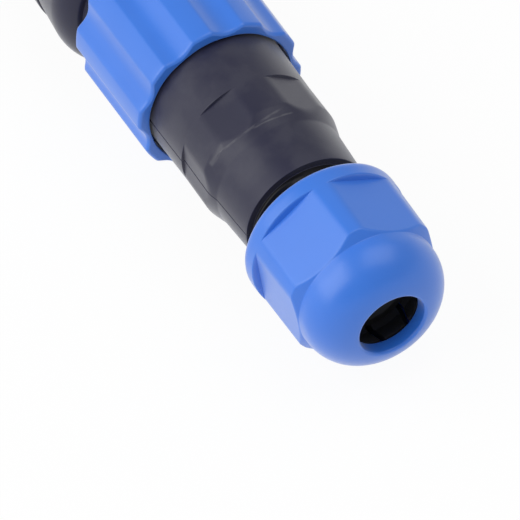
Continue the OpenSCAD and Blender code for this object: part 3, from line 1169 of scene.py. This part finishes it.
@dataclass
class Shell(Turning):
    """Rear shell, measured from its solid's rear edge: a threaded neck behind it and the tail in front.

    The mesh is finer from a little behind the flats' step to a little in front of it.
    """

    neck_length: float = 12.6
    neck_r: float = 9.9
    neck_bore_r: float = 8.4
    neck_shade_from: float = 0.1
    tail_end_r: float = 11.05
    tail_edge: float = 0.45
    tail_r: float = 11.6
    tail_length: float = 8.8
    shell_r: float = 12.6
    shoulder_length: float = 3.6
    flat_count: int = 6
    flat_length: float = 7.0
    flat_r: float = 12.1
    flat_turn: float = 30.5
    flat_land: float = 0.4
    step_round: float = 0.15
    step_behind: float = 0.5
    step_front: float = 0.1
    cavity_r: float = 8.55
    seat_r: float = 6.5
    seat_front: float = 1.6
    seat_back: float = 3.6
    edge: float = 0.4

    @property
    def step(self) -> float:
        """Station of the flats' step."""
        return -self.tail_length - self.shoulder_length - self.flat_length

    def tail(self, drawn: Outline) -> Outline:
        """Adds the neck, the tapered tail, the shoulder and the round land past the flats.

        Args:
            drawn: Outline without a corner.

        Returns:
            The outline, up to the front of the land.
        """
        drawn.to(self.neck_length, self.neck_bore_r, rounding=0.1)
        drawn.to(self.neck_length, self.neck_r, self.edge, pitch=0.5)
        drawn.to(self.tail_edge, self.neck_r, rounding=0.15, pitch=1.0)
        drawn.to(self.tail_edge, self.tail_end_r, rounding=0.12, pitch=0.3)
        drawn.to(-self.tail_length, self.tail_r, rounding=0.3, pitch=0.5)
        drawn.to(-self.tail_length - self.shoulder_length, self.shell_r, rounding=0.25, pitch=0.12)
        drawn.to(self.step + self.step_behind, self.shell_r, pitch=0.4)
        drawn.to(self.step - self.step_front, self.shell_r, pitch=0.05)
        return drawn.to(self.step - self.flat_land, self.shell_r, rounding=0.2, pitch=0.2)

    def seat(self, drawn: Outline) -> Outline:
        """Adds the cavity's end, the seal's seat and its pocket.

        Args:
            drawn: Outline up to the cavity.

        Returns:
            The closed outline.
        """
        drawn.to(self.seat_front, self.cavity_r, rounding=0.3)
        drawn.to(self.seat_front, self.seat_r, self.inner_round)
        drawn.to(self.seat_back, self.seat_r, self.inner_round)
        return drawn.to(self.seat_back, self.neck_bore_r)

    def build(self) -> bpy.types.Object:
        """Builds the shell and paints its neck, behind the tail's edge, in a darker black as painted shade of
        the gap before the nut.

        Returns:
            The new object, which stands for its node.
        """
        piece = super().build()
        piece.data.materials.append(finished(PAINTED_SHADE_BLACK))
        # Faces behind the tail's edge get the painted shade
        edge = self.datum + self.side.value * (self.tail_edge + self.neck_shade_from)
        for face in piece.data.polygons:
            beyond = (face.center.x / MM - edge) * self.side.value
            face.material_index = 1 if beyond > 0 else 0
        return piece

    def shapes(self) -> list[Shape]:
        """Lays the spanner flats and the mould parting lines on the shell.

        Returns:
            The flats, and then the lines that run over them.
        """
        flats = Flats(
            count=self.flat_count,
            radius=self.flat_r,
            turn=self.flat_turn * self.side.value,
            start=self.step,
            top_r=self.shell_r,
            rounding=self.step_round,
        )
        return [flats, Seams()]


@dataclass
class PlugShell(Shell):
    """The plug's shell, whose front slides over the barrel."""

    front_length: float = 13.8
    front_r: float = 12.95
    counterbore_r: float = 11.35
    counterbore: float = 10.6

    def outline(self) -> Outline:
        """Draws the tail, the drafted front, the counterbore, the cavity and the seat.

        Returns:
            The shell's outline.
        """
        face = self.step - self.front_length
        drawn = self.tail(Outline())
        drawn.to(face, self.front_r, rounding=0.3, pitch=1.2)
        drawn.to(face, self.counterbore_r, self.inner_round)
        drawn.to(face + self.counterbore, self.counterbore_r)
        drawn.to(face + self.counterbore, self.cavity_r)
        return self.seat(drawn)


@dataclass
class RearShell(Shell):
    """The receptacle's rear shell, whose rim meets the collar."""

    rim_r: float = 15.75
    rim_length: float = 3.7
    rim_slope: float = 3.0
    spigot_r: float = 12.4
    spigot_length: float = 7.8

    def outline(self) -> Outline:
        """Draws the tail, the slope, the rim, the spigot, the cavity and the seat.

        Returns:
            The shell's outline.
        """
        rim_rear = self.step - self.rim_slope
        rim_face = rim_rear - self.rim_length
        drawn = self.tail(Outline())
        drawn.to(rim_rear, self.rim_r, rounding=0.7, pitch=0.5)
        drawn.to(rim_face, self.rim_r, rounding=0.5, pitch=0.6)
        drawn.to(rim_face, self.spigot_r)
        drawn.to(rim_face - self.spigot_length, self.spigot_r, self.edge)
        drawn.to(rim_face - self.spigot_length, self.cavity_r, self.inner_round)
        return self.seat(drawn)


@dataclass
class ReceptacleShell(Turning):
    """The receptacle's shell, measured from its collar's front face towards its cable end."""

    front_length: float = 17.7
    front_r: float = 12.3
    mating_bore_r: float = 10.7
    mating_depth: float = 13.8
    web_bore_r: float = 9.0
    web_t: float = 4.0
    seat_bore_r: float = 10.8
    seat_length: float = 5.0
    spigot_bore_r: float = 12.5
    collar_r: float = 15.999
    collar_round: float = 6.0
    collar_shoulder: float = 5.0
    collar_length: float = 12.9
    collar_rear_r: float = 15.4
    flat_count: int = 2
    flat_r: float = 15.7654
    flat_start: float = -1.0
    flat_softness: float = 0.06
    step_round: float = 0.15
    edge: float = 0.4

    def outline(self) -> Outline:
        """Draws the threaded front, the rounded collar and the stepped bore.

        Returns:
            The shell's outline.
        """
        front = -self.front_length
        centre = (self.collar_shoulder, self.collar_r - self.collar_round)
        start = -math.degrees(math.asin(self.collar_shoulder / self.collar_round))
        web = front + self.mating_depth
        seat = web + self.web_t
        pocket = seat + self.seat_length
        drawn = Outline().to(front, self.mating_bore_r, rounding=0.3)
        drawn.to(front, self.front_r, self.edge, pitch=0.5)
        drawn.to(0, self.front_r, rounding=0.3, pitch=1.0)
        drawn.arc(centre, self.collar_round, start, 0, steps=24)
        drawn.to(self.collar_length, self.collar_rear_r, rounding=0.4, pitch=0.6)
        drawn.to(self.collar_length, self.spigot_bore_r)
        drawn.to(pocket, self.spigot_bore_r)
        drawn.to(pocket, self.seat_bore_r, self.inner_round)
        drawn.to(seat, self.seat_bore_r)
        drawn.to(seat, self.web_bore_r, self.inner_round)
        drawn.to(web, self.web_bore_r, self.inner_round)
        return drawn.to(web, self.mating_bore_r)

    def shapes(self) -> list[Shape]:
        """Lays a flat on the collar's top and one on its underside.

        Returns:
            One shape with both flats.
        """
        flats = Flats(
            count=self.flat_count,
            radius=self.flat_r,
            turn=0,
            start=self.flat_start,
            top_r=self.collar_r,
            rounding=self.step_round,
            softness=self.flat_softness,
        )
        return [flats]


@dataclass
class Thread:
    """Screw thread: a ridge that winds along the axis and runs out at both ends.

    Lengths are millimetres, and the run-out and the crease are degrees.
    """

    name: str
    body: Body
    height: float
    start: float
    turns: int
    root_r: float
    crest_r: float
    side: Side = Side.PLUG
    pitch: float = 2.0
    root_w: float = 1.35
    crest_w: float = 0.25
    sunk: float = 0.1
    steps: int = 120
    run_out: float = 40.0
    crease: float = 30.0

    def build(self) -> bpy.types.Object:
        """Winds one ridge section along the axis and closes its ends.

        Returns:
            The new object.
        """
        half, tip = self.root_w / 2, self.crest_w / 2
        flank = [(-half, self.root_r - self.sunk), (-half, self.root_r), (-tip, self.crest_r)]
        section = flank + [(-x, r) for x, r in reversed(flank)]
        piece = draw_loop(self.name, [(self.start + x, r) for x, r in section], 0)
        bpy.ops.object.mode_set(mode="OBJECT")
        wound = piece.modifiers.new("wind", "SCREW")
        wound.axis = "X"
        wound.iterations = self.turns
        wound.steps = wound.render_steps = self.steps
        wound.screw_offset = self.pitch * MM * self.side.value
        wound.angle = FULL_TURN * self.side.value
        bpy.ops.object.modifier_apply(modifier=wound.name)
        self._run_out(piece)
        self._close(piece)
        smooth_piece(piece, self.crease)
        # The ridge takes the darker black that paints the shade between the parts
        dress(piece, self.body, PAINTED_SHADE_BLACK)
        return piece

    def _run_out(self, piece: bpy.types.Object) -> None:
        """Sinks the ridge's ends into the root and lifts the piece to the axis.

        Args:
            piece: Wound ridge, round the frame's X axis.
        """
        spots = read_spots(piece)
        radius = np.hypot(spots[:, 1], spots[:, 2])
        travel = (spots[:, 0] - self.start) * self.side.value
        turn = np.arctan2(spots[:, 1], spots[:, 2])
        place = self._progress(travel, -turn)
        total = self.turns * 360
        share = np.clip(np.minimum(place, total - place) / self.run_out, 0, 1)
        rise = share * share * (3 - 2 * share)
        floor = self.root_r - self.sunk / 2
        target = np.where(radius > floor, floor + (radius - floor) * rise, radius)
        spots[:, 1:] *= (target / radius)[:, None]
        spots[:, 2] += self.height
        move_spots(piece, spots)

    def _progress(self, travel: np.ndarray, turn: np.ndarray) -> np.ndarray:
        """Angle along the helix, whose whole turns follow from the travel.

        Args:
            travel: Distances along the axis from the thread's start.
            turn: Angles about the axis in radians.

        Returns:
            Angles in degrees from the thread's start.
        """
        within = np.degrees(turn) % 360
        whole = np.round((travel / self.pitch * 360 - within) / 360)
        return within + whole * 360

    @staticmethod
    def _close(piece: bpy.types.Object) -> None:
        """Fills the two open ends and turns all faces outwards.

        Args:
            piece: Ridge with open ends.
        """
        select_only(piece)
        bpy.ops.object.mode_set(mode="EDIT")
        bpy.ops.mesh.select_all(action="SELECT")
        bpy.ops.mesh.fill_holes(sides=0)
        bpy.ops.mesh.normals_make_consistent(inside=False)
        bpy.ops.object.mode_set(mode="OBJECT")


# Stage


def direction(azimuth: float, elevation: float) -> Vector:
    """Unit vector from the object towards a place round it, in degrees; azimuth 0 is -Y and 90 is +X."""
    a, e = math.radians(azimuth), math.radians(elevation)
    return Vector((math.sin(a) * math.cos(e), -math.cos(a) * math.cos(e), math.sin(e)))


@dataclass(frozen=True)
class Lamp:
    """Softbox: its azimuth and elevation, its distance and size in metres, and its power in watts."""

    name: str
    way: Point
    distance: float
    size: Point
    power: float

    def build(self, target: Vector) -> None:
        """Stands the lamp at its azimuth and elevation and turns it to the target.

        Args:
            target: Place that the lamp looks at.
        """
        made = bpy.data.lights.new(self.name, "AREA")
        made.shape = "RECTANGLE"
        made.size, made.size_y = self.size
        made.energy = self.power
        lamp = bpy.data.objects.new(self.name, made)
        lamp.visible_camera = False
        bpy.context.scene.collection.objects.link(lamp)
        back = direction(*self.way)
        lamp.location = target + back * self.distance
        lamp.rotation_euler = (-back).to_track_quat("-Z", "Y").to_euler()


@dataclass
class Studio:
    """White table, white surroundings, soft lamps and the photograph's camera.

    The table's edge is metres, and the camera's place is millimetres from the cable hole. The surroundings
    turn white between the two heights of the horizon, as parts of a view direction of length 1.
    """

    floor_edge: float = 4.0
    floor_white: float = 0.97
    world_light: float = 0.46
    horizon: Span = (0.4, 0.05)
    shadow_share: float = 0.06
    lens: float = 207.7
    sensor: float = 36.0
    azimuth: float = 62.12
    elevation: float = 46.56
    camera_from_hole: Triple = (267.5, -164.5, 345.1)
    lamps: tuple[Lamp, ...] = (
        Lamp("side_softbox", way=(-8.0, 36.0), distance=1.0, size=(1.05, 0.9), power=6.6),
        Lamp("top_softbox", way=(165.0, 72.0), distance=1.0, size=(0.8, 0.8), power=2.5),
    )

    def build(self, hole: Vector, middle: Vector) -> None:
        """Builds the stage round the object.

        Args:
            hole: Centre of the plug's cable hole.
            middle: Middle of the object, which the lamps look at.
        """
        self._floor()
        self._world()
        for lamp in self.lamps:
            lamp.build(middle)
        self._camera(hole)
        bpy.context.scene.view_settings.view_transform = "Standard"

    def _floor(self) -> None:
        """Lays the white table, which keeps a light shadow of the object."""
        deselect_all()
        bpy.ops.mesh.primitive_plane_add(size=self.floor_edge, location=(0, 0, 0))
        floor = bpy.context.object
        floor.name = "table"
        white = bpy.data.materials.new("table_white")
        white.use_nodes = True
        graph = Graph(white.node_tree)
        shade = (self.floor_white,) * 3
        matt = graph.node("ShaderNodeBsdfDiffuse", {}, {"Color": opaque(shade)})
        glow = graph.node("ShaderNodeEmission", {}, {"Color": WHITE, "Strength": 1.0})
        share = self._shown(graph) * (1 - self.shadow_share)
        mixed = graph.node("ShaderNodeMixShader", {}, {0: share, 1: matt.outputs[0], 2: glow.outputs[0]})
        graph.node("ShaderNodeOutputMaterial", {}, {"Surface": mixed.outputs[0]})
        white.cycles.emission_sampling = "NONE"
        floor.data.materials.append(white)
        floor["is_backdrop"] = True

    @staticmethod
    def _shown(graph: Graph) -> Wire:
        """Tells the rays that show a background: the camera's own, mirrored and passed through.

        Args:
            graph: Graph of the table or of the surroundings.

        Returns:
            1 for such a ray and 0 for any other.
        """
        path = graph.node("ShaderNodeLightPath", {}, {})
        rays = graph.wire(path, "Is Camera Ray") + graph.wire(path, "Is Glossy Ray")
        return rays + graph.wire(path, "Is Transmission Ray")

    def _world(self) -> None:
        """Lights the object evenly from all round, and shows the camera and mirrors a white horizon."""
        world = bpy.data.worlds.new("white_surroundings")
        world.use_nodes = True
        graph = Graph(world.node_tree)
        way = graph.node("ShaderNodeTexCoord", {}, {}).outputs["Generated"]
        up = graph.wire(graph.node("ShaderNodeSeparateXYZ", {}, {0: way}), 2)
        white = up.ramp(*self.horizon) * (1 - self.world_light)
        strength = self._shown(graph) * white + self.world_light
        back = graph.node("ShaderNodeBackground", {}, {"Color": WHITE, "Strength": strength})
        graph.node("ShaderNodeOutputWorld", {}, {"Surface": back.outputs[0]})
        world.cycles.sampling_method = "NONE"
        bpy.context.scene.world = world

    def _camera(self, hole: Vector) -> None:
        """Stands the camera where the photograph was taken from.

        Args:
            hole: Centre of the plug's cable hole.
        """
        lens = bpy.data.cameras.new("camera")
        lens.lens = self.lens
        lens.sensor_width = self.sensor
        camera = bpy.data.objects.new("camera", lens)
        bpy.context.scene.collection.objects.link(camera)
        camera.location = hole + Vector(self.camera_from_hole) * MM
        back = direction(self.azimuth, self.elevation)
        right = Vector((0, 0, 1)).cross(back).normalized()
        camera.rotation_euler = Matrix((right, back.cross(right), back)).transposed().to_euler()
        bpy.context.scene.camera = camera


@dataclass
class Connector:
    """The whole connector, with its places read from the frame.

    Each neck's thread starts behind its shell's rear edge, and the front's thread behind the front face.
    """

    frame: dict[str, Any]
    hole_depth: float = 0.7
    thread_turns: int = 5
    neck_thread_start: float = 1.3
    neck_crest_r: float = 10.6
    front_thread_start: float = 16.2
    front_crest_r: float = 13.0
    claws: tuple[str, ...] = ("plug_clamp_claw", "receptacle_clamp_claw")

    def middle(self) -> Vector:
        """Middle of the object's box."""
        low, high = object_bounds()
        return (low + high) / 2

    def height(self) -> float:
        """Height of the axis in millimetres, taken from the collar's level flats."""
        low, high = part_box("receptacle_shell")
        return (low.z + high.z) / 2 / MM

    def hole(self) -> Vector:
        """Centre of the cable hole, a little inside the plug nut's tip."""
        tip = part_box("plug_gland_nut")[1].x
        return Vector((tip - self.hole_depth * MM, 0, self.height() * MM))

    def rear_edges(self) -> tuple[float, float]:
        """Finds the rear edges of both shells along the axis.

        Returns:
            The plug's and the receptacle's, in millimetres.
        """
        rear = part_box("plug_shell")[1].x / MM - Shell.neck_length
        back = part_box("receptacle_rear_shell")[0].x / MM + Shell.neck_length
        return rear, back

    def mouldings(self) -> list[Turning]:
        """Sets the outer mouldings at their datums in the frame.

        Returns:
            The mouldings from the plug's nut to the receptacle's.
        """
        height = self.height()
        black, blue = (Slot.BLACK, BLACK), (Slot.BLUE, BLUE)
        rear, back = self.rear_edges()
        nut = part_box("plug_gland_nut")[0].x / MM
        far_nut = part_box("receptacle_gland_nut")[1].x / MM
        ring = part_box("coupling_ring")[0].x / MM
        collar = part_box("receptacle_shell")[1].x / MM - ReceptacleShell.front_length
        far = Side.RECEPTACLE
        return [
            GlandNut("gland_nut", "plug_gland_nut", Body.PLUG_NUT, *blue, height, nut),
            CouplingRing("fluted_ring", "coupling_ring", Body.COUPLING, *blue, height, ring),
            PlugShell("shell", "plug_shell", Body.PLUG, Slot.BLACK, SCUFFED, height, rear),
            ReceptacleShell("collar", "receptacle_shell", Body.RECEPTACLE, *black, height, collar, far),
            RearShell("rear_shell", "receptacle_rear_shell", Body.RECEPTACLE, *black, height, back, far),
            GlandNut(
                "far_gland_nut", "receptacle_gland_nut", Body.RECEPTACLE_NUT, *blue, height, far_nut, far
            ),
        ]

    def threads(self) -> list[Thread]:
        """Sets the threads of both necks and of the receptacle's front.

        Returns:
            The three threads.
        """
        height = self.height()
        rear, back = self.rear_edges()
        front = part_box("receptacle_shell")[1].x / MM
        lead = self.neck_thread_start
        neck = (self.thread_turns, Shell.neck_r, self.neck_crest_r)
        screw = (self.thread_turns, ReceptacleShell.front_r, self.front_crest_r)
        return [
            Thread("neck_thread", Body.PLUG, height, rear + lead, *neck),
            Thread("far_neck_thread", Body.RECEPTACLE, height, back - lead, *neck, Side.RECEPTACLE),
            Thread("coupling_thread", Body.RECEPTACLE, height, front - self.front_thread_start, *screw),
        ]

    def dress_nodes(self) -> None:
        """Gives every solid that stays in view its finish."""
        slots = {part["node"]: part["material_slot"] for part in self.frame["record"]["subparts"]}
        for name, node in self.frame["nodes"].items():
            finish = CLAW if name in self.claws else FINISHES[Slot(slots[name])]
            node.data.materials.clear()
            node.data.materials.append(finished(finish))
            LOG.info("%s: finish %s", name, finish.name)

    def build(self) -> None:
        """Builds the mouldings and the threads and dresses the rest."""
        self.dress_nodes()
        for moulding in self.mouldings():
            moulding.build()
        for thread in self.threads():
            thread.build()


def main() -> None:
    """Loads the frame, builds the connector and its stage, and keeps the two boxes."""
    logging.basicConfig(level=logging.INFO, format="%(name)s: %(message)s")
    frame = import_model()
    connector = Connector(frame)
    hole, middle = connector.hole(), connector.middle()
    connector.build()
    Studio().build(hole, middle)


if __name__ == "__main__":
    main()
